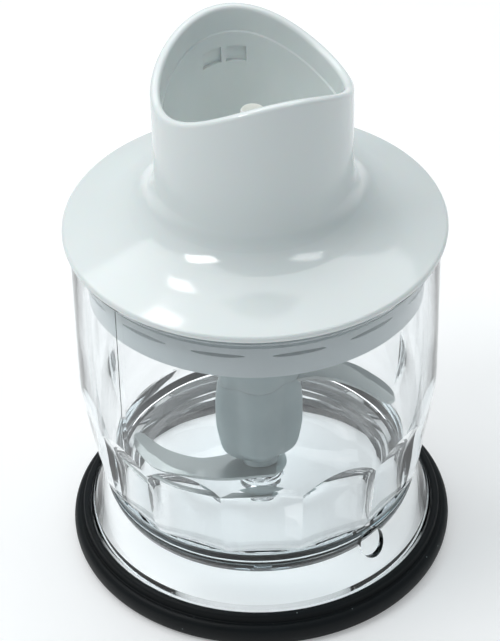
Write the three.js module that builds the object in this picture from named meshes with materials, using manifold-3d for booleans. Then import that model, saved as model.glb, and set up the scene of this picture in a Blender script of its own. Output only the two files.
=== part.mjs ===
// Mini chopper for a hand blender: clear faceted bowl, two-level blade, geared lid with a drive tower.
// Millimetres, +Z up. The origin is on the table, on the axis, under the middle of the anti-slip ring.
import * as THREE from "three";
import Module from "manifold-3d";

const wasm = await Module();
wasm.setup();

// ---- driving dimensions ----
const FACETS = 14; // flat thumb cuts round the foot of the bowl
const FACET_TURN = 0.45; // degrees from the front to the middle of the first facet
const RIM_Z = 101.2; // top of the bowl's rim
const LID_Z = 101.5; // underside of the lid's edge
const TOWER_R = 25.4;
const TOWER_BORE_R = 22.9;
const TOWER_Z = 147.8; // mean height of the wavy tower rim
const TOWER_WAVE = 5.5; // the rim swings this far above and below the mean
const TOWER_PEAK = 198; // azimuth of one of its two peaks
const WELL_FLOOR_Z = 114.4;
const GEAR_FLOOR_Z = 111.6;
const PIN_R = 2;
const SLEEVE_R = 4;
const RUNNING = 0.06; // radial clearance of a turning fit
const LOWER_BLADE_Z = 21.1;
const UPPER_BLADE_Z = 49.5;
const BLADE_T = 1;
const MODULE = 0.7;
const SUN_TEETH = 12;
const PLANET_TEETH = 18;
const RING_TEETH = 48;
const PRESSURE_ANGLE = (25 * Math.PI) / 180;
const BACKLASH = 0.22;
const PLANET_R = (MODULE * (SUN_TEETH + PLANET_TEETH)) / 2; // distance from axis to planet axis
const GEAR_Z = 104;
const GEAR_T = 5;
const SCREW_R = 30; // pitch radius of the cover screws
const SCREW_TURN = 35;
const HOLE_AZ = 42.7; // drain hole in the skirt
const HOLE_Z = 18.3;
const HOLE_R = 4.1;

const deg = Math.PI / 180;

// ---- materials ----
const paint = (color, roughness, metalness = 0, opacity = 1) =>
  new THREE.MeshStandardMaterial({ color, roughness, metalness, opacity, transparent: opacity < 1 });
const lidWhite = paint("#e6eae9", 0.28);
const coverWhite = paint("#d3dadb", 0.35);
const clearPlastic = paint("#dbe6ea", 0.06, 0, 0.35);
const rubber = paint("#14191b", 0.62);
const frosted = paint("#a9b7ba", 0.5);
const bladeSteel = paint("#b9bcba", 0.28, 1);
const pinSteel = paint("#c9ccce", 0.18, 1);
const acetal = paint("#eef0ea", 0.4);
const nylon = paint("#e9e4d2", 0.5);
const bronze = paint("#a9783f", 0.4, 1);
const sealRubber = paint("#2b2f31", 0.7);
const screwSteel = paint("#9da1a3", 0.3, 1);

// ---- shared shape makers ----

// A closed profile of [radius, height] pairs, anticlockwise, turned about Z.
// Azimuth 0 is the front (-Y) and grows towards +X. The optional bend moves each vertex.
function turned(profile, segments, bend) {
  const points = profile.map(([r, z]) => new THREE.Vector2(r, z));
  const onAxis = profile[0][0] === 0 && profile[profile.length - 1][0] === 0;
  if (!onAxis) points.push(points[0].clone());
  const shape = new THREE.LatheGeometry(points, segments).rotateX(Math.PI / 2);
  if (bend) {
    const p = shape.attributes.position;
    for (let i = 0; i < p.count; i++) {
      const azimuth = Math.atan2(p.getX(i), -p.getY(i)) / deg;
      const [r, z] = bend(Math.hypot(p.getX(i), p.getY(i)), p.getZ(i), azimuth);
      p.setXYZ(i, r * Math.sin(azimuth * deg), -r * Math.cos(azimuth * deg), z);
    }
  }
  return shape;
}

// A flat outline with holes, extruded from z0 to z1.
function plate(outline, holes, z0, z1) {
  const shape = new THREE.Shape(outline.map(([x, y]) => new THREE.Vector2(x, y)));
  shape.holes = holes.map((h) => new THREE.Path(h.map(([x, y]) => new THREE.Vector2(x, y))));
  const made = new THREE.ExtrudeGeometry(shape, { depth: z1 - z0, bevelEnabled: false, curveSegments: 1 });
  return made.translate(0, 0, z0);
}

// Points of a circle, or of a polygon with few sides.
function circle(r, sides, x = 0, y = 0, turn = 0) {
  return Array.from({ length: sides }, (_, i) => {
    const a = turn * deg + (i * 2 * Math.PI) / sides;
    return [x + r * Math.cos(a), y + r * Math.sin(a)];
  });
}

function solid(geometry) {
  const source = geometry.index ? geometry.toNonIndexed() : geometry;
  const position = source.attributes.position.array;
  const keys = new Map();
  const vertices = [];
  const corners = [];
  for (let i = 0; i < position.length; i += 3) {
    const key = [0, 1, 2].map((k) => Math.round(position[i + k] * 1e4)).join();
    if (!keys.has(key)) {
      keys.set(key, keys.size);
      vertices.push(position[i], position[i + 1], position[i + 2]);
    }
    corners.push(keys.get(key));
  }
  const kept = [];
  for (let i = 0; i < corners.length; i += 3) {
    const [a, b, c] = corners.slice(i, i + 3);
    if (a !== b && b !== c && a !== c) kept.push(a, b, c);
  }
  const vertProperties = new Float32Array(vertices);
  const triVerts = new Uint32Array(kept);
  return new wasm.Manifold(new wasm.Mesh({ numProp: 3, vertProperties, triVerts }));
}

function geometryOf(made) {
  const mesh = made.getMesh();
  const shape = new THREE.BufferGeometry();
  shape.setAttribute("position", new THREE.BufferAttribute(new Float32Array(mesh.vertProperties), 3));
  shape.setIndex(new THREE.BufferAttribute(new Uint32Array(mesh.triVerts), 1));
  return shape;
}

const join = (...parts) => geometryOf(parts.map(solid).reduce((a, b) => a.add(b)));
const cut = (body, ...tools) => geometryOf(tools.map(solid).reduce((a, b) => a.subtract(b), solid(body)));

const root = new THREE.Group();
root.name = "mini_chopper";
function add(name, geometry, material, x = 0, y = 0) {
  const mesh = new THREE.Mesh(geometry, material);
  mesh.name = name;
  mesh.position.set(x, y, 0);
  root.add(mesh);
}

// Straight-line table lookup: z falls from row to row.
function lookup(table, z) {
  for (let i = 1; i < table.length; i++) {
    const [z0, r0] = table[i - 1];
    const [z1, r1] = table[i];
    if (z <= z0 && z >= z1) return r0 + ((r1 - r0) * (z0 - z)) / (z0 - z1);
  }
  return Infinity;
}

// ---- base: rubber ring the bowl stands in ----
const RING = [
  [43.8, 0], [50.9, 0], [52.1, 0.9], [52.6, 3.5], [51.9, 5.6], [50.3, 6.6], [49.6, 6.5], [49.5, 8.3],
  [48.9, 8.9], [48.1, 8.9], [47.6, 8.4], [47.6, 3.2], [43.8, 3.2],
];
add("anti_slip_ring", turned(RING, 40), rubber);

// ---- bowl: clear, faceted, with a flared skirt under a dished floor ----
// Radius of a facet's middle at each height, from the top of its arch down to the foot band.
const FACET = [[53.9, 48], [49.4, 46.65], [44, 46.3], [38, 45.7], [33, 44.9], [29, 43.7], [25.6, 42]];
const BOWL = [
  [0, 12], [5.6, 12], [5.6, 14.4], [33, 14.5], [37, 15.6], [39.6, 17.7], [41, 19.8], [45.2, 8.8], [45.2, 3.9],
  [45.6, 3.5], [46.9, 3.5], [47.3, 3.9], [47.3, 8.8], [44.4, 15.4], [42.5, 22], [42.5, 25.4], [43, 25.7],
  [45, 29], [46.2, 33], [47, 38], [47.5, 44], [47.8, 49.4], [48.05, 53.9], [48.1, RIM_Z - 0.5], [47.7, RIM_Z],
  [46.1, RIM_Z], [45.7, RIM_Z - 0.4], [45.4, 60], [45.2, 48], [44.6, 39], [43, 31], [41.3, 25], [39.5, 21.4],
  [37.3, 18.9], [31, 17], [5.9, 17], [5.9, 18.6], [2.3, 18.6], [2.3, 13.2], [0, 13.2],
];
function facetCut(r, z, azimuth) {
  const step = 360 / FACETS;
  const off = ((((azimuth - FACET_TURN) % step) + 1.5 * step) % step) - step / 2;
  if (r < 42.9 || z < 25.6) return [r, z];
  if (r < 46 && z > 17 && lookup(INNER, z) > r - 0.3) return [r, z];
  return [Math.min(r, lookup(FACET, z) / Math.cos(off * deg)), z];
}
const INNER = [[100.8, 45.7], [60, 45.4], [48, 45.2], [39, 44.6], [31, 43], [25, 41.3], [17, 30]];
const drain = turned([[0, 40.6], [HOLE_R, 40.6], [HOLE_R, 50], [0, 50]], 16)
  .rotateX(Math.PI / 2)
  .translate(0, 0, HOLE_Z)
  .rotateZ(HOLE_AZ * deg);
add("bowl", cut(turned(BOWL, FACETS * 3, facetCut), drain), clearPlastic);

// ---- bowl: steel pivot pin pressed into the floor boss ----
add("pivot_pin", turned([[0, 13.5], [PIN_R, 13.5], [PIN_R, 56.8], [1.3, 58], [0, 58.3]], 16), pinSteel);

// ---- blade: non-turning sleeve on the pin, and the stacked hub with its two blades ----
const sleeveBore = PIN_R + RUNNING;
const SLEEVE = [
  [sleeveBore, 18.9], [5.3, 18.9], [5.3, 19.6], [SLEEVE_R, 19.6], [SLEEVE_R, 55], [sleeveBore, 55],
];
add("bearing_sleeve", turned(SLEEVE, 20), acetal);
const hubBore = SLEEVE_R + RUNNING;
const FOOT = [[hubBore, 19.9], [6.9, 19.9], [7.4, 20.3], [7.4, 20.8], [hubBore, 20.8]];
add("hub_foot", turned(FOOT, 24), frosted);

// One sickle blade seen from above, tip to the left and swept towards the back.
const BLADE = [
  [-36.6, 9], [-36, 5.8], [-34.2, 2.2], [-31.2, -1.4], [-27.2, -4.9], [-23, -6.9], [-18.2, -8.1], [-12, -8.5],
  [-5, -8.6], [1.5, -8.4], [6, -6.4], [8.3, -2.2], [8.3, 2.2], [6.2, 6], [2, 7.6], [-3, 6.8], [-7.5, 3.6],
  [-10.5, 1.1], [-15.8, -0.1], [-20, 0.7], [-24.3, 2.7], [-28.6, 6], [-31.4, 9], [-33.6, 11.4], [-35.6, 11.4],
];
// The cutting edge is ground: it is half as thick, in a strip along the outer curve.
function blade(z, turn) {
  const body = plate(BLADE, [circle(4.4, 20)], z, z + BLADE_T);
  const outer = BLADE.slice(0, 9);
  const inner = outer.map(([x, y]) => [x * 0.94 + 0.2, y + 2.3 - 0.02 * (x + 18)]).reverse();
  const ground = plate([...outer.map(([x, y]) => [x - 1.5, y - 1.5]), ...inner], [], z + BLADE_T / 2, z + 2);
  return cut(body, ground).rotateZ(turn);
}
add("lower_blade", blade(LOWER_BLADE_Z, 0), bladeSteel);
add("upper_blade", blade(UPPER_BLADE_Z, Math.PI), bladeSteel);

// Hub between the blades: a round core with two rounded wings that start above a short collar.
const WING_TURN = 8;
const WING_WIDTH = 5.4;
function hubOutline(core, reach, width) {
  const points = [];
  for (let i = 0; i < 36; i++) {
    const along = Math.abs(Math.cos(i * 10 * deg)) / reach;
    const across = Math.abs(Math.sin(i * 10 * deg)) / width;
    const wing = 1 / Math.pow(along ** 4 + across ** 4, 0.25);
    const r = Math.max(core, wing);
    const a = (i * 10 + WING_TURN) * deg;
    points.push([r * Math.cos(a), r * Math.sin(a)]);
  }
  return points;
}
// Outlines stacked upwards round a straight bore.
function lofted(levels, bore) {
  const count = levels[0].outline.length;
  const hole = (z) => circle(bore, count, 0, 0, WING_TURN).map(([x, y]) => [x, y, z]);
  const rings = levels.map(({ z, outline }) => outline.map(([x, y]) => [x, y, z]));
  rings.unshift(hole(levels[0].z));
  rings.push(hole(levels[levels.length - 1].z), rings[0]);
  const position = [];
  for (let k = 0; k < rings.length - 1; k++) {
    for (let i = 0; i < count; i++) {
      const j = (i + 1) % count;
      const [a, b, c, d] = [rings[k][i], rings[k][j], rings[k + 1][j], rings[k + 1][i]];
      position.push(...a, ...b, ...c, ...a, ...c, ...d);
    }
  }
  const shape = new THREE.BufferGeometry();
  return shape.setAttribute("position", new THREE.BufferAttribute(new Float32Array(position), 3));
}
const hubLevel = ([z, core, reach]) => ({ z, outline: hubOutline(core, reach, WING_WIDTH) });
const HUB = [
  [22.4, 6.8, 6.8], [24.8, 7.2, 7.2], [25.3, 7.3, 8.4], [26.6, 7.3, 9.9], [30, 7.3, 11.5], [36, 7.3, 11.9],
  [43, 7.3, 11.9], [47, 7.3, 11.3], [49.2, 7.3, 10.6],
];
add("blade_hub", lofted(HUB.map(hubLevel), hubBore), frosted);

// Neck above the upper blade: the wings run out into a tube with the hexagon socket the lid drives.
const SHOULDER = [[50.8, 7.3, 10], [52.6, 7.3, 9], [54.2, 7.2, 7.6], [55, 7.1, 7.1]];
const NECK = [
  [hubBore, 54], [7, 54], [7, 89.7], [6.6, 90.2], [3.2, 90.2], [3.2, 58.9], [hubBore, 58.9],
];
const neckBody = join(lofted(SHOULDER.map(hubLevel), hubBore), turned(NECK, 36));
add("hub_neck", cut(neckBody, plate(circle(5.14, 6), [], 81.3, 91)), frosted);

// ---- lid: moulded shell with the drive tower ----
const rimWave = (azimuth) => TOWER_WAVE * Math.cos(2 * (azimuth - TOWER_PEAK) * deg);
const STEP_Z = TOWER_Z - 7;
const LID = [
  [45.5, LID_Z], [49.7, LID_Z], [49.95, 101.8], [49.2, 102.6], [46, 104.1], [41, 105.6], [36, 106.95],
  [33, 108], [30.8, 109.3], [28.9, 111.4], [27.2, 114.7], [25.9, 118.8], [TOWER_R, 122.4],
  [TOWER_R, TOWER_Z - 1], [24.8, TOWER_Z - 0.1], [23.5, TOWER_Z - 0.1], [TOWER_BORE_R, TOWER_Z - 1],
  [TOWER_BORE_R, STEP_Z], [22.5, STEP_Z - 0.4], [22.4, 115.4], [21.4, WELL_FLOOR_Z], [7.2, WELL_FLOOR_Z],
  [7.2, 118], [5.4, 118], [5.4, GEAR_FLOOR_Z], [23.1, GEAR_FLOOR_Z], [23.1, 104.4], [25.1, 104.4],
  [25.1, 109.6], [26.3, 109.2], [31.4, 105.6], [44.6, 102.5],
];
function towerBend(r, z, azimuth) {
  return [r, z > STEP_Z - 1 ? z + rimWave(azimuth) : z];
}
function screwAt(i) {
  const a = (SCREW_TURN + i * 120) * deg;
  return [SCREW_R * Math.cos(a), SCREW_R * Math.sin(a)];
}
const bosses = [0, 1, 2].map((i) => plate(circle(3.2, 16, ...screwAt(i)), [], 101.8, 106.6));
const pilots = [0, 1, 2].map((i) => plate(circle(1.45, 12, ...screwAt(i)), [], 101, 106));
// Latch pockets: a pair each side, with a rib between, where the tower rim is highest.
function pocket(azimuth) {
  const a = (azimuth - 90) * deg;
  const box = new THREE.BoxGeometry(2.4, 4.6, 4.6).translate(TOWER_BORE_R - 0.2, 0, TOWER_Z - 8.2);
  return box.rotateZ(a);
}
const pockets = [-7.2, 7.2, 172.8, 187.2].map((a) => pocket(TOWER_PEAK + a));
const lidTurned = turned(LID, 40, towerBend);
add("lid_shell", cut(join(lidTurned, ...bosses), ...pilots, ...pockets), lidWhite);

// ---- lid: gear cover with the plug that fits the bowl's mouth ----
const COVER = [
  [6.4, 95], [8.8, 95], [8.8, 99.1], [41.6, 99.1], [42.3, 88.1], [42.8, 87.6], [43.9, 87.6], [44.4, 88.1],
  [44.8, 98], [45.25, 98.4], [45.25, 101.2], [6.4, 101.2],
];
const clearances = [0, 1, 2].map((i) => plate(circle(1.75, 12, ...screwAt(i)), [], 98, 102));
add("gear_cover", cut(turned(COVER, 40), ...clearances), coverWhite);

// Cover screws, driven up from inside the plug.
const SCREW = [[0, 96.9], [2.6, 96.9], [2.9, 97.3], [2.9, 98.8], [1.35, 98.8], [1.35, 105.3], [0, 105.7]];
[0, 1, 2].forEach((i) => {
  const [x, y] = screwAt(i);
  const screw = turned(SCREW, 12);
  const slot = new THREE.BoxGeometry(0.8, 3.6, 1.2).translate(0, 0, 97);
  const cross = new THREE.BoxGeometry(3.6, 0.8, 1.2).translate(0, 0, 97);
  add("cover_screw_" + (i + 1), cut(screw, slot, cross), screwSteel, x, y);
});

// ---- lid: bushes and seal ----
add(
  "input_bush",
  turned([[3.06, 110.5], [6.6, 110.5], [6.6, 111.3], [5.25, 111.3], [5.25, 118.4], [3.06, 118.4]], 18),
  bronze,
);
add("output_bush", turned([[3.58, 97.3], [6.3, 97.3], [6.3, 101.9], [3.58, 101.9]], 18), bronze);
add("shaft_seal", turned([[3.75, 95.6], [4.4, 95.2], [6.3, 95.2], [6.3, 97], [3.75, 97]], 18), sealRubber);

// ---- lid: planetary gear train ----
const involute = (a) => Math.tan(a) - a;
// Teeth as a polygon. play > 0 makes a tooth space larger (ring gear), play < 0 a tooth thinner.
function toothed(teeth, rootR, tipR, play, turn) {
  const pitchR = (MODULE * teeth) / 2;
  const baseR = pitchR * Math.cos(PRESSURE_ANGLE);
  const half = (r) => {
    const at = r > baseR ? involute(Math.acos(baseR / r)) : 0;
    return Math.PI / (2 * teeth) + play / (2 * pitchR) + involute(PRESSURE_ANGLE) - at;
  };
  const points = [];
  for (let i = 0; i < teeth; i++) {
    const mid = turn * deg + (i * 2 * Math.PI) / teeth;
    for (const [r, side] of [[rootR, -1], [tipR, -1], [tipR, 1], [rootR, 1]]) {
      const a = mid + side * half(r);
      points.push([r * Math.cos(a), r * Math.sin(a)]);
    }
  }
  return points;
}
const sunR = (MODULE * SUN_TEETH) / 2;
const planetR = (MODULE * PLANET_TEETH) / 2;
const ringR = (MODULE * RING_TEETH) / 2;
const ringTurn = 360 / RING_TEETH / 2; // a tooth space, not a tooth, on the +X axis
const spaces = toothed(RING_TEETH, ringR - 0.85 * MODULE, ringR + 1.25 * MODULE, BACKLASH / 2, ringTurn);
add("ring_gear", plate(circle(22.8, 40), [spaces.reverse()], 103.9, 109.5), nylon);
const sunTeeth = toothed(SUN_TEETH, sunR - 1.2 * MODULE, sunR + 0.9 * MODULE, -BACKLASH / 2, 0);
add("sun_gear", plate(sunTeeth, [circle(1.95, 20).reverse()], GEAR_Z, GEAR_Z + GEAR_T + 0.8), pinSteel);
const planetTeeth = (turn) =>
  toothed(PLANET_TEETH, planetR - 1.2 * MODULE, planetR + 0.9 * MODULE, -BACKLASH / 2, turn);
const planetAt = (i) => [PLANET_R * Math.cos(i * 120 * deg), PLANET_R * Math.sin(i * 120 * deg)];
[0, 1, 2].forEach((i) => {
  const teeth = planetTeeth(i * 120 + 190);
  const wheel = plate(teeth, [circle(1.56, 14).reverse()], GEAR_Z, GEAR_Z + GEAR_T);
  add("planet_gear_" + (i + 1), wheel, nylon, ...planetAt(i));
});

// Carrier plate under the planets, its three pins, and the shaft that drives the blade.
const pinHoles = [0, 1, 2].map((i) => circle(1.55, 14, ...planetAt(i)).reverse());
const carrierHoles = [circle(3.12, 18).reverse(), ...pinHoles];
add("planet_carrier", plate(circle(14.4, 30), carrierHoles, 102.3, 103.7), acetal);
[0, 1, 2].forEach((i) => {
  const pin = turned([[0, 102.4], [1.5, 102.4], [1.5, 109.4], [1.1, 109.8], [0, 109.8]], 14);
  add("planet_pin_" + (i + 1), pin, pinSteel, ...planetAt(i));
});
const outputShaft = turned([[0, 94], [3.5, 94], [3.5, 101.9], [3, 102], [3, 103.6], [0, 103.6]], 18);
const outputNose = turned([[0, 82.4], [3.6, 82.4], [4.9, 83.7], [4.9, 94.6], [0, 94.6]], 6).rotateZ(30 * deg);
add("output_coupling", join(outputShaft, outputNose), acetal);

// ---- lid: input shaft and the coupling seen down the tower ----
add(
  "input_shaft",
  turned([[0, 103.8], [1.85, 103.8], [1.85, 110.4], [3, 110.6], [3, 127.2], [2.6, 127.6], [0, 127.6]], 18),
  pinSteel,
);
add("shaft_clip", turned([[3.06, 118.8], [5, 118.8], [5, 119.6], [3.06, 119.6]], 14), screwSteel);
const COUPLING = [
  [3.05, 120], [5.2, 120], [5.2, 135.6], [4.5, 136.6], [2, 136.6], [2, 128.2], [3.05, 127.9],
];
add("input_coupling", cut(turned(COUPLING, 20), plate(circle(3.3, 6), [], 128.6, 138)), acetal);

export default root;
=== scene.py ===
import math

import bmesh
import bpy
from mathutils import Matrix, Vector


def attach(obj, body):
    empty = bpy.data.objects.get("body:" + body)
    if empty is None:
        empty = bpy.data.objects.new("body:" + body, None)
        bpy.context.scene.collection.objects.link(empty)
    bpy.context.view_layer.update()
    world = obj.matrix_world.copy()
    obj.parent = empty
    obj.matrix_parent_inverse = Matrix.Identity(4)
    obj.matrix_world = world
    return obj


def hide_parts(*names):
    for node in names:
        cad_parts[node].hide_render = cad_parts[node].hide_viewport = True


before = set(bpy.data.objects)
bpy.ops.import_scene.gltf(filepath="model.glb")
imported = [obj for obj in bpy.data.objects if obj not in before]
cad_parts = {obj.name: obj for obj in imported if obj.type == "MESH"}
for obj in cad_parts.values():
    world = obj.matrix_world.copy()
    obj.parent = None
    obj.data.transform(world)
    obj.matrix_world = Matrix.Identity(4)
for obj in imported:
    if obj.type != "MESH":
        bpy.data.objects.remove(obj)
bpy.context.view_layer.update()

# Camera: a long lens well over half a metre away, looking down on the front of the chopper.
# Its roll is a hand-held degree or so.
LENS_TILT = math.radians(90 - 37.99)
LENS_ROLL = math.radians(-1.41)
camera = bpy.data.objects.new("camera", bpy.data.cameras.new("camera"))
bpy.context.collection.objects.link(camera)
camera.data.sensor_fit = "VERTICAL"
camera.data.sensor_height = 36
camera.data.lens = 146
camera.location = (-0.0019, -0.5442, 0.4948)
turn = Matrix.Rotation(LENS_TILT, 3, "X") @ Matrix.Rotation(LENS_ROLL, 3, "Z")
camera.rotation_euler = turn.to_euler()
bpy.context.scene.camera = camera


# Table: a plain white sheet, lit until it is nearly blank, with the light in the room above it.
# Two cloth boxes stand left and right of the front, the left one stronger, and two hang overhead.
def linear(code):
    """A colour written as an sRGB hex value, in the linear numbers a shader takes."""
    parts = [int(code[i : i + 2], 16) / 255 for i in (1, 3, 5)]
    return [c / 12.92 if c <= 0.04045 else ((c + 0.055) / 1.055) ** 2.4 for c in parts] + [1.0]


def node(tree, kind, inputs=None, **settings):
    """Adds a node, sets its settings, and fills its inputs with values or links."""
    made = tree.nodes.new("ShaderNode" + kind)
    for name, value in settings.items():
        setattr(made, name, value)
    for name, value in (inputs or {}).items():
        if isinstance(value, bpy.types.NodeSocket):
            tree.links.new(value, made.inputs[name])
        else:
            made.inputs[name].default_value = value
    return made


def finish_named(name, **uniform):
    """A new material with uniform shader values, and the place on the piece in metres."""
    made = bpy.data.materials.new(name)
    made.use_nodes = True
    tree = made.node_tree
    shader = tree.nodes["Principled BSDF"]
    for socket, value in uniform.items():
        shader.inputs[socket.replace("_", " ")].default_value = value
    return made, tree, shader, node(tree, "TexCoord").outputs["Object"]


def toned(tree, shader, grain, dark, light, low=0.3, high=0.7):
    """Colours the shader from dark to light as the grain goes from low to high."""
    ramp = node(tree, "ValToRGB", {"Fac": grain.outputs["Fac"]})
    ends = ramp.color_ramp.elements
    ends[0].position, ends[1].position = low, high
    ends[0].color, ends[1].color = linear(dark), linear(light)
    tree.links.new(ramp.outputs["Color"], shader.inputs["Base Color"])
    return ramp


def roughened(tree, shader, grain, least, most):
    """Varies the shader's roughness with the grain."""
    spread = {"From Min": 0.3, "From Max": 0.75, "To Min": least, "To Max": most}
    made = node(tree, "MapRange", {"Value": grain.outputs["Fac"], **spread})
    tree.links.new(made.outputs["Result"], shader.inputs["Roughness"])


def bumped(tree, shader, grain, strength, depth):
    """Raises the skin by the grain, depth in metres."""
    height = {"Height": grain.outputs["Fac"], "Strength": strength, "Distance": depth}
    tree.links.new(node(tree, "Bump", height).outputs["Normal"], shader.inputs["Normal"])


paper, tree, shader, place = finish_named(
    "white_seamless_paper", Roughness=0.9, Specular_IOR_Level=0.1, Emission_Strength=0.26
)
shader.inputs["Emission Color"].default_value = linear("#FFFFFF")
fibre = node(tree, "TexNoise", {"Vector": place, "Scale": 900, "Detail": 3})  # 1 mm paper tooth
toned(tree, shader, fibre, "#E4E4E4", "#E8E8E8")
bm = bmesh.new()
bmesh.ops.create_grid(bm, x_segments=1, y_segments=1, size=4)
sheet = bpy.data.meshes.new("table_sheet")
bm.to_mesh(sheet)
bm.free()
table_sheet = bpy.data.objects.new("table_sheet", sheet)
sheet.materials.append(paper)
bpy.context.collection.objects.link(table_sheet)

scene = bpy.context.scene
scene.view_settings.view_transform = "Standard"
room = bpy.data.worlds.new("room")
room.use_nodes = True
room.node_tree.nodes["Background"].inputs["Color"].default_value = linear("#B8CAD2")
room.node_tree.nodes["Background"].inputs["Strength"].default_value = 0.34
scene.world = room


LAMP_TARGET = Vector((0, 0, 0.09))  # a little above the middle of the chopper


def cloth_box(name, place, size, power):
    """A soft rectangular lamp that looks at the chopper."""
    lamp = bpy.data.lights.new(name, "AREA")
    lamp.shape = "RECTANGLE"
    lamp.size, lamp.size_y = size
    lamp.energy = power
    stand = bpy.data.objects.new(name, lamp)
    stand.location = place
    stand.rotation_euler = (LAMP_TARGET - Vector(place)).to_track_quat("-Z", "Y").to_euler()
    bpy.context.collection.objects.link(stand)


cloth_box("key_left", (-0.58, -0.24, 1.0), (0.42, 0.18), 3.2)
cloth_box("fill_right", (0.56, -0.28, 1.0), (0.42, 0.18), 1.1)
cloth_box("overhead", (-0.15, 0.4, 1.25), (1.8, 1.2), 13.2)
cloth_box("small_box", (-0.34, 0.41, 1.15), (0.14, 0.14), 0.5)


# Anti-slip ring: one soft rubber moulding, a round bead outside and a lip that grips the skirt.
# It lies flat on the table and the bowl's skirt drops into it.
def outline(bm, points):
    """A closed outline of (radius, height[, corner radius]) in millimetres, corners rounded."""
    corners = []
    for r, z, *soft in points:
        corners.append((bm.verts.new((0, -r / 1000, z / 1000)), soft[0] / 1000 if soft else 0))
    ring = [vert for vert, _ in corners]
    for a, b in zip(ring, ring[1:] + ring[:1]):
        bm.edges.new((a, b))
    for size in sorted({soft for _, soft in corners if soft}):
        bmesh.ops.bevel(
            bm,
            geom=[vert for vert, soft in corners if soft == size],
            offset=size,
            offset_type="OFFSET",
            segments=5,
            profile=0.5,
            affect="VERTICES",
            material=-1,
        )


def spun(bm, steps):
    """Turns everything in bm once round Z and closes it, faces outwards."""
    bmesh.ops.spin(
        bm,
        geom=bm.verts[:] + bm.edges[:],
        cent=(0, 0, 0),
        axis=(0, 0, 1),
        angle=2 * math.pi,
        steps=steps,
        use_merge=True,
    )
    bmesh.ops.remove_doubles(bm, verts=bm.verts[:], dist=1e-6)
    bmesh.ops.recalc_face_normals(bm, faces=bm.faces[:])


def piece(name, bm, material, body, replaced=(), sharp=30):
    """Makes bm an object of one material that rides on a body, edges over sharp degrees crisp."""
    mesh = bpy.data.meshes.new(name)
    bm.to_mesh(mesh)
    bm.free()
    mesh.polygons.foreach_set("use_smooth", [True] * len(mesh.polygons))
    mesh.set_sharp_from_angle(angle=math.radians(sharp))
    mesh.materials.append(material)
    made = bpy.data.objects.new(name, mesh)
    bpy.context.collection.objects.link(made)
    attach(made, body)
    if replaced:
        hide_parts(*replaced)
    return made


# Vulcanised rubber: near black, dull with a soft sheen, a fine cast skin and specks of dust.
rubber, tree, shader, place = finish_named("moulded_black_rubber", Specular_IOR_Level=0.22)
bloom = node(tree, "TexNoise", {"Vector": place, "Scale": 60, "Detail": 4})  # 15 mm dull patches
ramp = toned(tree, shader, bloom, "#05090B", "#0D1316", 0.35, 0.7)
specks = node(tree, "TexVoronoi", {"Vector": place, "Scale": 330, "Randomness": 1})  # 3 mm apart
spot = {"From Min": 0.05, "From Max": 0.075, "To Min": 1, "To Max": 0}
dot = node(tree, "MapRange", {"Value": specks.outputs["Distance"], **spot})
draw = node(tree, "SeparateColor", {"Color": specks.outputs["Color"]})
rare = node(tree, "Math", {0: draw.outputs["Red"], 1: 0.72}, operation="GREATER_THAN")
dust = node(tree, "Math", {0: dot.outputs["Result"], 1: rare.outputs["Value"]}, operation="MULTIPLY")
dusted = {0: dust.outputs["Value"], 6: ramp.outputs["Color"], 7: linear("#6F7878")}
coat = node(tree, "Mix", dusted, data_type="RGBA")
tree.links.new(coat.outputs[2], shader.inputs["Base Color"])
roughened(tree, shader, bloom, 0.5, 0.62)
grain = node(tree, "TexNoise", {"Vector": place, "Scale": 2500, "Detail": 3})  # 0.4 mm cast skin
bumped(tree, shader, grain, 0.12, 0.0001)

bm = bmesh.new()
outline(bm, [
    (46.4, 0, 0.4), (51.4, 0, 1.2), (52.9, 3.4, 2.4), (51.3, 6.9, 1.8), (49.75, 6.3, 0.5),
    (49.6, 8.9, 0.8), (47.6, 8.9, 0.7), (47.6, 3.2), (46.4, 3.2, 0.4),
])
spun(bm, 160)
piece("rubber_ring", bm, rubber, "base", ["anti_slip_ring"])


# Bowl: clear SAN moulding, polished in the tool. Fourteen shallow cuts round its foot stiffen it.
# Below the foot band a flared skirt stands in the ring, with a drain hole for washing-up water.
FACETS = 14
FACET_STEP = 360 / FACETS
FACET_TURN = 0.45
COLUMNS = 12  # mesh columns across one facet
CUT_ROWS = 16
FOOT_Z = 25.6
ARCH_Z = 53.9
SEAM_TURN = -47.5  # the two halves of the mould part here and on the far side
SEAM_HALF = 0.22  # half the parting line's width, in degrees
SEAM_PROUD = 0.07
DRAIN = (42.7, 18.3, 4.1)  # azimuth, height and radius
DRILL = (45.3, 9.4)  # how far out the drill's middle is, and its length


def between(table, at):
    """Straight-line value at a height, from rows of (height, value) that rise."""
    for (a, va), (b, vb) in zip(table, table[1:]):
        if a <= at <= b:
            return va + (vb - va) * (at - a) / (b - a)
    return table[0][1] if at < table[0][0] else table[-1][1]


def azimuth_of(point):
    """Degrees round the bowl from the front, growing to the right."""
    return math.degrees(math.atan2(point.x, -point.y))


def around(r, azimuth, z):
    """The point at a radius and azimuth, millimetres in and metres out."""
    a = math.radians(azimuth)
    return Vector((r * math.sin(a), -r * math.cos(a), z)) / 1000


WALL = [
    (25.6, 43.0), (27, 44.0), (29, 45.0), (31, 45.7), (33, 46.2), (36, 46.75), (40, 47.2),
    (44, 47.5), (49, 47.8), (54, 48.05), (60, 48.1), (101, 48.1),
]
CUT = [
    (25.6, 42.0), (27, 42.8), (29, 43.7), (31, 44.35), (33, 44.85), (36, 45.4), (40, 45.9),
    (44, 46.2), (46.5, 46.38), (48.2, 46.58), (49.5, 46.83), (51, 47.22), (52.4, 47.65), (53.9, 48.12),
]


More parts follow.
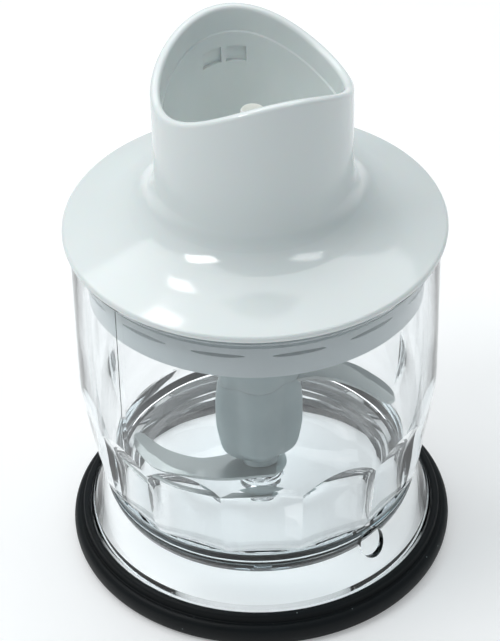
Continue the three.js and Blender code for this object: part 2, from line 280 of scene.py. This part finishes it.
def arch_height(off):
    """Height at which a facet meets the round wall, off degrees from the facet's middle."""
    low, high = 40.0, ARCH_Z
    for _ in range(40):
        mid = (low + high) / 2
        if between(CUT, mid) / math.cos(math.radians(off)) < between(WALL, mid):
            low = mid
        else:
            high = mid
    return low


UNDER_FLOOR = [
    (0, 12), (5.4, 12), (5.6, 12.2), (5.6, 14.2), (5.9, 14.45), (30, 14.5), (36.4, 14.6),
    (38.6, 15.3), (39.9, 16.6), (40.6, 18.3), (40.9, 20), (41.3, 20),
]
SKIRT = [
    (41.8, 18.6), (42.8, 15.9), (44, 12.6), (45.2, 9.2), (45.2, 4), (45.6, 3.5), (46.9, 3.5),
    (47.3, 3.9), (47.3, 9), (46.2, 11.6), (44.9, 14.5), (43.6, 17.8), (42.8, 20.4), (42.45, 21.8),
    (42.5, 22.1), (42.6, 23.5), (42.55, 25.1), (42.65, 25.4),
]
RIM = [
    (48.3, 99.55), (48.7, 99.75), (49, 100.1), (49.1, 100.55), (49, 100.95), (48.7, 101.2),
    (46.3, 101.2), (45.9, 101), (45.75, 100.6),
]
INSIDE = [
    (45.6, 90), (45.5, 75), (45.4, 60), (45.2, 52), (44.8, 46), (44.3, 40), (43.7, 35.5),
    (43.1, 31.8), (42.4, 28.3), (41.6, 25.4), (40.6, 23), (39.3, 20.9), (37.7, 19.1), (35.8, 17.9),
    (33.6, 17.2), (31, 17), (18, 16.9), (6.6, 16.9), (6.1, 17.1), (5.9, 17.6), (5.9, 18.3),
    (5.6, 18.6), (2.4, 18.6), (2.3, 18.5), (2.3, 13.2), (0, 13.2),
]
facet_rows = [(48, FOOT_Z + (ARCH_Z - FOOT_Z) * i / CUT_ROWS) for i in range(CUT_ROWS + 1)]
wall_rows = [(48.1, z) for z in (57, 62, 70, 80, 90, 97, 99.4)]
first_cut = len(UNDER_FLOOR + SKIRT)
last_cut = first_cut + CUT_ROWS
last_wall = last_cut + len(wall_rows)
bm = bmesh.new()
row_of = bm.verts.layers.int.new("row")
line = []
for row, (r, z) in enumerate(UNDER_FLOOR + SKIRT + facet_rows + wall_rows + RIM + INSIDE):
    vert = bm.verts.new((0, -r / 1000, z / 1000))
    vert[row_of] = row
    line.append(vert)
for a, b in zip(line, line[1:]):
    bm.edges.new((a, b))
spun(bm, FACETS * COLUMNS)
for vert in bm.verts:
    row = vert[row_of]
    if not first_cut <= row <= last_wall:
        continue
    azimuth = azimuth_of(vert.co)
    off = (azimuth - FACET_TURN + FACET_STEP / 2) % FACET_STEP - FACET_STEP / 2
    z = vert.co.z * 1000
    r = between(WALL, z)
    if row <= last_cut:
        share = (row - first_cut) / CUT_ROWS
        z = FOOT_Z + share * (arch_height(off) - FOOT_Z)
        r = min(between(WALL, z), between(CUT, z) / math.cos(math.radians(off)))
    vert.co = around(r, azimuth, z)
for step in (-SEAM_HALF, 0, SEAM_HALF):
    across = around(1, SEAM_TURN + step + 90, 0)
    everything = bm.verts[:] + bm.edges[:] + bm.faces[:]
    bmesh.ops.bisect_plane(bm, geom=everything, dist=1e-7, plane_co=(0, 0, 0), plane_no=across)
for vert in bm.verts:
    off = (azimuth_of(vert.co) - SEAM_TURN + 90) % 180 - 90
    r, z = math.hypot(vert.co.x, vert.co.y) * 1000, vert.co.z * 1000
    if abs(off) < 0.05 and r > 47 and 54 < z < 100:
        vert.co = around(r + SEAM_PROUD, azimuth_of(vert.co), z)

# Moulded SAN: water clear with a cold edge, glassy, with hairline scuffs from washing.
clear, tree, shader, place = finish_named("clear_moulded_san", Transmission_Weight=1, IOR=1.5)
shader.inputs["Base Color"].default_value = linear("#FFFFFF")
haze = node(tree, "TexNoise", {"Vector": place, "Scale": 90, "Detail": 5})  # 11 mm handling marks
roughened(tree, shader, haze, 0.0, 0.02)
flow = node(tree, "TexNoise", {"Vector": place, "Scale": 45, "Detail": 2})  # 20 mm ripple of the tool
bumped(tree, shader, flow, 0.03, 0.0004)
rays = node(tree, "LightPath")
open_air = node(tree, "BsdfTransparent", {"Color": linear("#F6F9FA")})
sides = {0: rays.outputs["Is Shadow Ray"], 1: shader.outputs["BSDF"], 2: open_air.outputs["BSDF"]}
through = node(tree, "MixShader", sides)
output = tree.nodes["Material Output"]
tree.links.new(through.outputs["Shader"], output.inputs["Surface"])
depth = node(tree, "VolumeAbsorption", {"Color": (0.52, 0.68, 0.74, 1), "Density": 28})
tree.links.new(depth.outputs["Volume"], output.inputs["Volume"])
bowl = piece("bowl_shell", bm, clear, "bowl_body", ["bowl"], sharp=9)


def pierced(target, bm, sharp):
    """Cuts the closed shape in bm out of a piece's mesh."""
    mesh = bpy.data.meshes.new("drill")
    bm.to_mesh(mesh)
    bm.free()
    drill = bpy.data.objects.new("drill", mesh)
    bpy.context.collection.objects.link(drill)
    cut = target.modifiers.new("cut", "BOOLEAN")
    cut.object, cut.operation, cut.solver = drill, "DIFFERENCE", "EXACT"
    graph = bpy.context.evaluated_depsgraph_get()
    done = bpy.data.meshes.new_from_object(target.evaluated_get(graph))
    target.modifiers.remove(cut)
    target.data = done
    bpy.data.objects.remove(drill)
    done.set_sharp_from_angle(angle=math.radians(sharp))


drain_turn, drain_z, drain_r = DRAIN
drill_out, drill_length = DRILL
r = drain_r / 1000
bm = bmesh.new()
bmesh.ops.create_cone(
    bm, cap_ends=True, segments=40, radius1=r, radius2=r, depth=drill_length / 1000
)
bmesh.ops.rotate(bm, verts=bm.verts[:], matrix=Matrix.Rotation(math.pi / 2, 3, "X"))
bmesh.ops.translate(bm, verts=bm.verts[:], vec=(0, -drill_out / 1000, drain_z / 1000))
bmesh.ops.rotate(bm, verts=bm.verts[:], matrix=Matrix.Rotation(math.radians(drain_turn), 3, "Z"))
pierced(bowl, bm, 9)


# Pivot pin: ground stainless rod with a domed tip, pressed into the floor boss.
# It stays in the bowl when the blade is lifted off.
# Stainless rod, centreless ground: bright, with faint rings round it from the wheel.
bright, tree, shader, place = finish_named("ground_stainless_rod", Metallic=1)
stretch = node(tree, "Mapping", {"Vector": place, "Scale": (1, 1, 30)})
rings = node(tree, "TexNoise", {"Vector": stretch.outputs["Vector"], "Scale": 120, "Detail": 3})
toned(tree, shader, rings, "#BFC3C5", "#D2D5D6")  # rings 0.3 mm apart
roughened(tree, shader, rings, 0.12, 0.3)

bm = bmesh.new()
outline(bm, [(0.01, 13.5), (2, 13.5, 0.2), (2, 57.6, 0.8), (0.9, 58.3, 0.4), (0.01, 58.3)])
spun(bm, 40)
bmesh.ops.remove_doubles(bm, verts=bm.verts[:], dist=2.5e-5)
bmesh.ops.delete(bm, geom=[edge for edge in bm.edges if edge.is_wire], context="EDGES")
piece("steel_pin", bm, bright, "bowl_body", ["pivot_pin"])


# Blade hub: frosted polypropylene moulded round the two blades, with a fin on each side.
# A foot cups the lower blade's root, and a neck with a hexagon socket reaches up into the lid.
FIN_TURN = math.radians(8)
HUB_BORE = 4.08


def loop(bm, points):
    """A closed ring of edges through points in metres."""
    verts = [bm.verts.new(p) for p in points]
    return [bm.edges.new(pair) for pair in zip(verts, verts[1:] + verts[:1])]


def stacked(bm, rings):
    """Joins rings of points to one another in turn, and the last to the first.

    Known fault: bridge_loops joins some pairs of rings at one height across the bore. That shuts
    the hub and neck at 50.5 mm, the neck's socket at 90.2, and the drive cup at 128.6 and 136.6.
    """
    loops = [loop(bm, points) for points in rings]
    for low, high in zip(loops, loops[1:] + loops[:1]):
        bmesh.ops.bridge_loops(bm, edges=low + high)
    bmesh.ops.recalc_face_normals(bm, faces=bm.faces[:])


def finned(z, core, reach, width=4.1, count=120):
    """Outline of the hub at one height: a round core with a thick fin each way."""
    points = []
    for i in range(count):
        a = 2 * math.pi * i / count
        fin = (abs(math.cos(a) / reach) ** 3 + abs(math.sin(a) / width) ** 3) ** (-1 / 3)
        r = (core**12 + fin**12) ** (1 / 12) / 1000
        points.append((r * math.cos(a + FIN_TURN), r * math.sin(a + FIN_TURN), z / 1000))
    return points


def bore_ring(z, r=HUB_BORE, count=120):
    turns = [2 * math.pi * i / count + FIN_TURN for i in range(count)]
    return [(r / 1000 * math.cos(a), r / 1000 * math.sin(a), z / 1000) for a in turns]


# Frosted polypropylene: milky grey-green, light soaks a few millimetres in, spark-eroded skin.
frosted, tree, shader, place = finish_named(
    "frosted_polypropylene", IOR=1.49, Subsurface_Weight=0.45, Subsurface_Scale=0.004
)
shader.inputs["Subsurface Radius"].default_value = (0.9, 1.0, 1.0)
cloud = node(tree, "TexNoise", {"Vector": place, "Scale": 110, "Detail": 3})  # 9 mm flow clouds
toned(tree, shader, cloud, "#B2C1C3", "#BECBCC", 0.3, 0.72)
roughened(tree, shader, cloud, 0.36, 0.46)
spark = node(tree, "TexNoise", {"Vector": place, "Scale": 4000, "Detail": 2})  # 0.25 mm matt skin
bumped(tree, shader, spark, 0.1, 0.00005)

HUB = [
    (22.35, 4.8, 4.8), (22.5, 4.9, 4.9), (24.1, 4.9, 4.9), (24.3, 4.95, 5.9, 3.1), (24.6, 5, 7.3, 3.4),
    (25.2, 5.4, 8.5, 3.7), (26, 6.2, 9.5, 3.9), (27.2, 7, 10.3), (28.6, 7.3, 10.8), (31, 7.4, 11.3),
    (35, 7.4, 11.9), (39, 7.4, 12), (43, 7.4, 12), (46.5, 7.4, 11.7), (50.3, 7.4, 11.15),
    (50.45, 7.3, 11),
]
bm = bmesh.new()
stacked(bm, [bore_ring(22.35)] + [finned(*level) for level in HUB] + [bore_ring(50.45)])
piece("winged_hub", bm, frosted, "blade", ["blade_hub"], sharp=50)

bm = bmesh.new()
outline(bm, [
    (HUB_BORE, 19.9), (7.1, 19.9, 0.4), (7.4, 20.5, 0.3), (7.4, 20.95, 0.15), (HUB_BORE, 20.95),
])
spun(bm, 72)
piece("hub_foot_cup", bm, frosted, "blade", ["hub_foot"])

# Neck: the fins run out into a tube, bored for the sleeve below and hexagonal above.
# Both ends of the bore stand shut by the fault noted at stacked.
SOCKET_APOTHEM = 4.45
NECK = [
    (50.5, 7.3, 10.9), (50.65, 7.4, 11), (53, 7.3, 10.6), (56, 7.2, 9.9),
    (59, 7.1, 9), (61.5, 7, 8), (63.5, 7, 7), (89.4, 7, 7), (89.9, 6.85, 6.85), (90.2, 6.5, 6.5),
]


def hexagon_ring(z, apothem, count=120):
    """A hexagon with a flat side across +X, as many points as the outlines round it."""
    points = []
    for i in range(count):
        a = 2 * math.pi * i / count + FIN_TURN
        turn = (math.degrees(a) + 30) % 60 - 30
        r = apothem / math.cos(math.radians(turn)) / 1000
        points.append((r * math.cos(a), r * math.sin(a), z / 1000))
    return points


bm = bmesh.new()
socket = [hexagon_ring(90.2, 5), hexagon_ring(89.5, SOCKET_APOTHEM), hexagon_ring(81.3, SOCKET_APOTHEM)]
bore = [bore_ring(81.3, 3.2), bore_ring(58.9, 3.2), bore_ring(58.9), bore_ring(50.5)]
stacked(bm, [finned(*level) for level in NECK] + socket + bore)
piece("hub_neck_tube", bm, frosted, "blade", ["hub_neck"], sharp=40)


# Blades: 1 mm martensitic stainless strip, blanked to a sickle and ground on its leading curve.
# The lower one sweeps the floor, and the upper one is the same blank turned half round.
# Known fault: neither has a hole at the axis, so the pin and its sleeve pass through solid steel.
def curve_through(points, count):
    """count + 1 points spaced along a smooth curve through a few."""
    ends = [points[0]] + points + [points[-1]]
    made = []
    for i in range(count + 1):
        at = i / count * (len(points) - 1)
        k = min(int(at), len(points) - 2)
        t = at - k
        a, b, c, d = (Vector(p) for p in ends[k : k + 4])
        square = (2 * a - 5 * b + 4 * c - d) * t * t
        made.append(0.5 * (2 * b + (c - a) * t + square + (3 * b - a - 3 * c + d) * t**3))
    return made


EDGE = [
    (-36.4, 9.6), (-36.2, 6.4), (-34.6, 2.8), (-31.6, -1), (-27.3, -4.8), (-22.6, -7), (-17, -8.1),
    (-10, -8.6), (-3, -8.5), (4.2, -7.7),
]
BACK = [
    (-35.9, 10.7), (-34.2, 11.2), (-31.6, 9), (-28.3, 5.6), (-24.3, 2.8), (-20.2, 1), (-15.8, 0.1),
    (-10.8, 0.9), (-6, 2.6), (4.9, 3.4),
]
STATIONS = 60
BEVEL_MM = 3.2
BLADE_T = 1.0
# Satin strip steel: brushed along the blade, grey with a soft streaked sheen.
satin, tree, shader, place = finish_named("satin_blade_steel", Metallic=1)
along = node(tree, "Mapping", {"Vector": place, "Rotation": (0, 0, 0.21), "Scale": (6, 260, 60)})
streaks = node(tree, "TexNoise", {"Vector": along.outputs["Vector"], "Scale": 18, "Detail": 4})
toned(tree, shader, streaks, "#AAB1B1", "#BABFBE", 0.2, 0.8)  # brush lines 0.2 mm apart
roughened(tree, shader, streaks, 0.3, 0.4)
bumped(tree, shader, streaks, 0.05, 0.00003)

edge, back = curve_through(EDGE, STATIONS), curve_through(BACK, STATIONS)
BLADES = (("blade_low", "lower_blade", 21.1, 1), ("blade_high", "upper_blade", 49.5, -1))
for name, cad_node, base, half in BLADES:
    bm = bmesh.new()
    bmesh.ops.create_grid(bm, x_segments=STATIONS, y_segments=4, size=1)
    for vert in bm.verts:
        k = round((vert.co.x + 1) / 2 * STATIONS)
        across = round((vert.co.y + 1) * 2)
        span = (back[k] - edge[k]).length
        fade = min(1, max(0, (STATIONS - k) / STATIONS * 3 - 0.9))
        share = (0, min(0.42, BEVEL_MM * max(0.15, fade) / span), 0.5, 0.75, 1)[across]
        at = edge[k].lerp(back[k], share)
        drop = 0.78 * fade if across == 0 else 0
        vert.co = (half * at.x / 1000, half * at.y / 1000, (base + BLADE_T - drop) / 1000)
    down = bmesh.ops.extrude_face_region(bm, geom=bm.faces[:], use_keep_orig=True)
    for vert in (v for v in down["geom"] if isinstance(v, bmesh.types.BMVert)):
        vert.co.z = base / 1000
    bmesh.ops.remove_doubles(bm, verts=bm.verts[:], dist=1e-6)
    bmesh.ops.recalc_face_normals(bm, faces=bm.faces[:])
    piece(name, bm, satin, "blade", [cad_node], sharp=12)


# Lid: one white gloss ABS moulding, a domed brim drawn up into the tower for the hand blender.
# The tower's rim waves up and down twice. A step and latch pockets inside it hold the handle.
LID_Z = 101.5
TOWER_Z = 147.8
STEP_Z = TOWER_Z - 7
WAVE_FROM = 130
WAVE = 5.5
PEAK = 198
LID_STEPS = 240
POCKET = (131.8, 136.4)  # lower and upper edge before the wave lifts them
POCKET_SPAN = (0.9, 15.2)  # degrees each side of the peak, with a rib left between
POCKET_R = (22.55, 23.5)  # the bore's wall, and the floor of the pocket
bm = bmesh.new()
outline(bm, [
    (45.5, LID_Z), (49.8, LID_Z, 0.25), (49.95, 102.9, 0.8), (47.1, 103.8, 2), (42, 105.2, 3),
    (35.2, 107, 5), (29.2, 110.2, 3.5), (26.1, 114.4, 2.6), (25.4, 119, 3), (25.4, TOWER_Z, 1.1),
    (22.9, TOWER_Z, 1.1), (22.9, STEP_Z), (POCKET_R[0], STEP_Z - 0.4), (POCKET_R[0], POCKET[1]),
    (POCKET_R[0], POCKET[0]), (22.4, 114.4, 2.2), (7.2, 114.4, 0.5), (7.2, 118, 0.4), (5.4, 118, 0.2),
    (5.4, 111.6), (23.1, 111.6, 0.5), (23.1, 104.4, 0.3), (25.1, 104.4, 0.3), (25.1, 109.6, 0.6),
    (26.6, 109.0, 0.6), (31.4, 105.6, 1.5), (44.6, 102.6, 0.8),
])
spun(bm, LID_STEPS)
hollow = []
for face in bm.faces:
    middle = face.calc_center_median()
    off = (azimuth_of(middle) - PEAK + 90) % 180 - 90
    inside = abs(math.hypot(middle.x, middle.y) * 1000 - POCKET_R[0]) < 0.15
    level = POCKET[0] < middle.z * 1000 < POCKET[1]
    if inside and level and POCKET_SPAN[0] < abs(off) < POCKET_SPAN[1]:
        hollow.append(face)
for vert in bm.verts:
    if vert.co.z > WAVE_FROM / 1000:
        vert.co.z += WAVE / 1000 * math.cos(math.radians(2 * (azimuth_of(vert.co) - PEAK)))
sunk = bmesh.ops.extrude_face_region(bm, geom=hollow)
bmesh.ops.delete(bm, geom=hollow, context="FACES")
for vert in (v for v in sunk["geom"] if isinstance(v, bmesh.types.BMVert)):
    vert.co.x *= POCKET_R[1] / POCKET_R[0]
    vert.co.y *= POCKET_R[1] / POCKET_R[0]

# Injection-moulded ABS: cool white, glossy, the faintest ripple in the shine and hairline scuffs.
white, tree, shader, place = finish_named(
    "gloss_white_abs", IOR=1.53, Subsurface_Weight=0.1, Subsurface_Scale=0.002
)
age = node(tree, "TexNoise", {"Vector": place, "Scale": 25, "Detail": 2})  # 40 mm tone drift
toned(tree, shader, age, "#E2E8E7", "#E5EAE9")
rub = node(tree, "TexNoise", {"Vector": place, "Scale": 60, "Detail": 3})  # 16 mm handled areas
roughened(tree, shader, rub, 0.09, 0.12)
peel = node(tree, "TexNoise", {"Vector": place, "Scale": 420, "Detail": 2})  # 2.4 mm ripple
bumped(tree, shader, peel, 0.02, 0.0001)
piece("lid_tower_shell", bm, white, "lid", ["lid_shell"], sharp=32)


# Gear cover: pale ABS plate screwed up under the lid, its deep rim the plug that seats in the bowl.
# Fourteen narrow slots round the plug let water out, and a groove runs under the lid's edge.
SLOT_SPAN = 8.6  # half a slot, in degrees
SLOT_Z = 94.2
SLOT_H = 0.55
SLOT_DEPTH = 2.2
PLUG_R = 44.85  # the plug's outside where the slots are
bm = bmesh.new()
outline(bm, [
    (6.4, 95, 0.2), (8.8, 95, 0.4), (8.8, 99.1, 0.6), (41, 99.1, 0.9), (42.1, 86.9, 0.45),
    (44.4, 86.9, 0.7), (PLUG_R, SLOT_Z - SLOT_H), (PLUG_R, SLOT_Z + SLOT_H), (45, 96.7, 0.1),
    (42.9, 96.8), (42.9, 98.6), (45.3, 98.7, 0.1), (45.3, 101.2, 0.2), (6.4, 101.2),
])
spun(bm, FACETS * 18)
slots = []
for face in bm.faces:
    middle = face.calc_center_median()
    off = azimuth_of(middle) % FACET_STEP - FACET_STEP / 2
    outside = math.hypot(middle.x, middle.y) * 1000 > PLUG_R - 0.25
    if outside and abs(middle.z * 1000 - SLOT_Z) < 0.1 and abs(off) < SLOT_SPAN:
        slots.append(face)
for vert in {v for face in slots for v in face.verts}:
    off = azimuth_of(vert.co) % FACET_STEP - FACET_STEP / 2
    lens = math.sqrt(max(0.03, 1 - (off / SLOT_SPAN) ** 2))
    vert.co.z = (SLOT_Z + math.copysign(SLOT_H * lens, vert.co.z * 1000 - SLOT_Z)) / 1000
sunk = bmesh.ops.extrude_face_region(bm, geom=slots)
bmesh.ops.delete(bm, geom=slots, context="FACES")
for vert in (v for v in sunk["geom"] if isinstance(v, bmesh.types.BMVert)):
    vert.co.x *= 1 - SLOT_DEPTH / PLUG_R
    vert.co.y *= 1 - SLOT_DEPTH / PLUG_R
# Satin ABS: the lid's white seen in its own shade, a little greyer, with a fine spark-eroded skin.
cover_white, tree, shader, place = finish_named("satin_grey_white_abs", IOR=1.53)
drift = node(tree, "TexNoise", {"Vector": place, "Scale": 50, "Detail": 3})  # 20 mm tone drift
toned(tree, shader, drift, "#E3EBED", "#E8EEF0")
roughened(tree, shader, drift, 0.34, 0.42)
fine = node(tree, "TexNoise", {"Vector": place, "Scale": 3000, "Detail": 2})  # 0.3 mm satin skin
bumped(tree, shader, fine, 0.08, 0.00004)
piece("plug_cover", bm, cover_white, "lid", ["gear_cover"])


# Input coupling: an acetal cup on the gear's shaft, down in the tower, that takes the drive tip.
# Its mouth is wider than the hexagon inside, but stands shut by the fault noted at stacked.
def milky(name, dark, light, least, most):
    """An unfilled plastic: soft tone drift, waxy sheen, light a little way in."""
    made, tree, shader, place = finish_named(name, IOR=1.48, Subsurface_Weight=0.15)
    shader.inputs["Subsurface Scale"].default_value = 0.0015
    drift = node(tree, "TexNoise", {"Vector": place, "Scale": 150, "Detail": 3})  # 7 mm clouds
    toned(tree, shader, drift, dark, light)
    roughened(tree, shader, drift, least, most)
    fine = node(tree, "TexNoise", {"Vector": place, "Scale": 5000, "Detail": 2})  # 0.2 mm skin
    bumped(tree, shader, fine, 0.1, 0.00003)
    return made


# Moulded acetal: white and slippery, a waxy half-gloss.
acetal = milky("moulded_acetal", "#E6E8E2", "#EFF0EB", 0.26, 0.36)
bm = bmesh.new()
mouth = [bore_ring(136.6, 2.6), hexagon_ring(136.2, 2.15), hexagon_ring(128.6, 2.15)]
shank = [bore_ring(128.6, 2), bore_ring(128.2, 2), bore_ring(127.9, 3.05), bore_ring(120, 3.05)]
OUTSIDE = ((120, 5), (120.2, 5.2), (130, 5.2), (131.4, 4.4), (132.6, 3.4), (136.2, 3.1), (136.6, 2.8))
outside = [bore_ring(z, r) for z, r in OUTSIDE]
stacked(bm, outside + mouth + shank)
piece("drive_cup", bm, acetal, "input", ["input_coupling"], sharp=35)

# Gear train and fastenings inside the lid, as they were cut and turned: each gets its own finish.
# Moulded nylon: natural cream, satin, a touch translucent.
nylon = milky("moulded_natural_nylon", "#DDD6C0", "#E8E2CF", 0.36, 0.5)

# Sintered bronze: dull brown-gold, oil in its pores.
bronze, tree, shader, place = finish_named("oiled_sintered_bronze", Metallic=1)
pores = node(tree, "TexVoronoi", {"Vector": place, "Scale": 2500})  # powder grains of 0.4 mm
ramp = node(tree, "ValToRGB", {"Fac": pores.outputs["Distance"]})
for end, code in zip(ramp.color_ramp.elements, ("#B58A4E", "#7E5A2F")):
    end.color = linear(code)
tree.links.new(ramp.outputs["Color"], shader.inputs["Base Color"])
oil = node(tree, "TexNoise", {"Vector": place, "Scale": 300, "Detail": 3})  # 3 mm oily patches
roughened(tree, shader, oil, 0.25, 0.5)

# Zinc-plated steel: blue-grey, soft mirror broken by the plating's fine spangle.
zinc, tree, shader, place = finish_named("zinc_plated_steel", Metallic=1)
spangle = node(tree, "TexNoise", {"Vector": place, "Scale": 900, "Detail": 4})  # 1 mm spangle
toned(tree, shader, spangle, "#9AA1A6", "#B9C0C4")
roughened(tree, shader, spangle, 0.22, 0.4)
bumped(tree, shader, spangle, 0.1, 0.00002)

FINISHES = (
    (acetal, ("bearing_sleeve", "planet_carrier", "output_coupling")),
    (nylon, ("ring_gear", "planet_gear_1", "planet_gear_2", "planet_gear_3")),
    (bright, ("sun_gear", "input_shaft", "planet_pin_1", "planet_pin_2", "planet_pin_3")),
    (bronze, ("input_bush", "output_bush")),
    (zinc, ("cover_screw_1", "cover_screw_2", "cover_screw_3", "shaft_clip")),
    (rubber, ("shaft_seal",)),
)
for material, names in FINISHES:
    for name in names:
        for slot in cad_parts[name].material_slots:
            slot.material = material
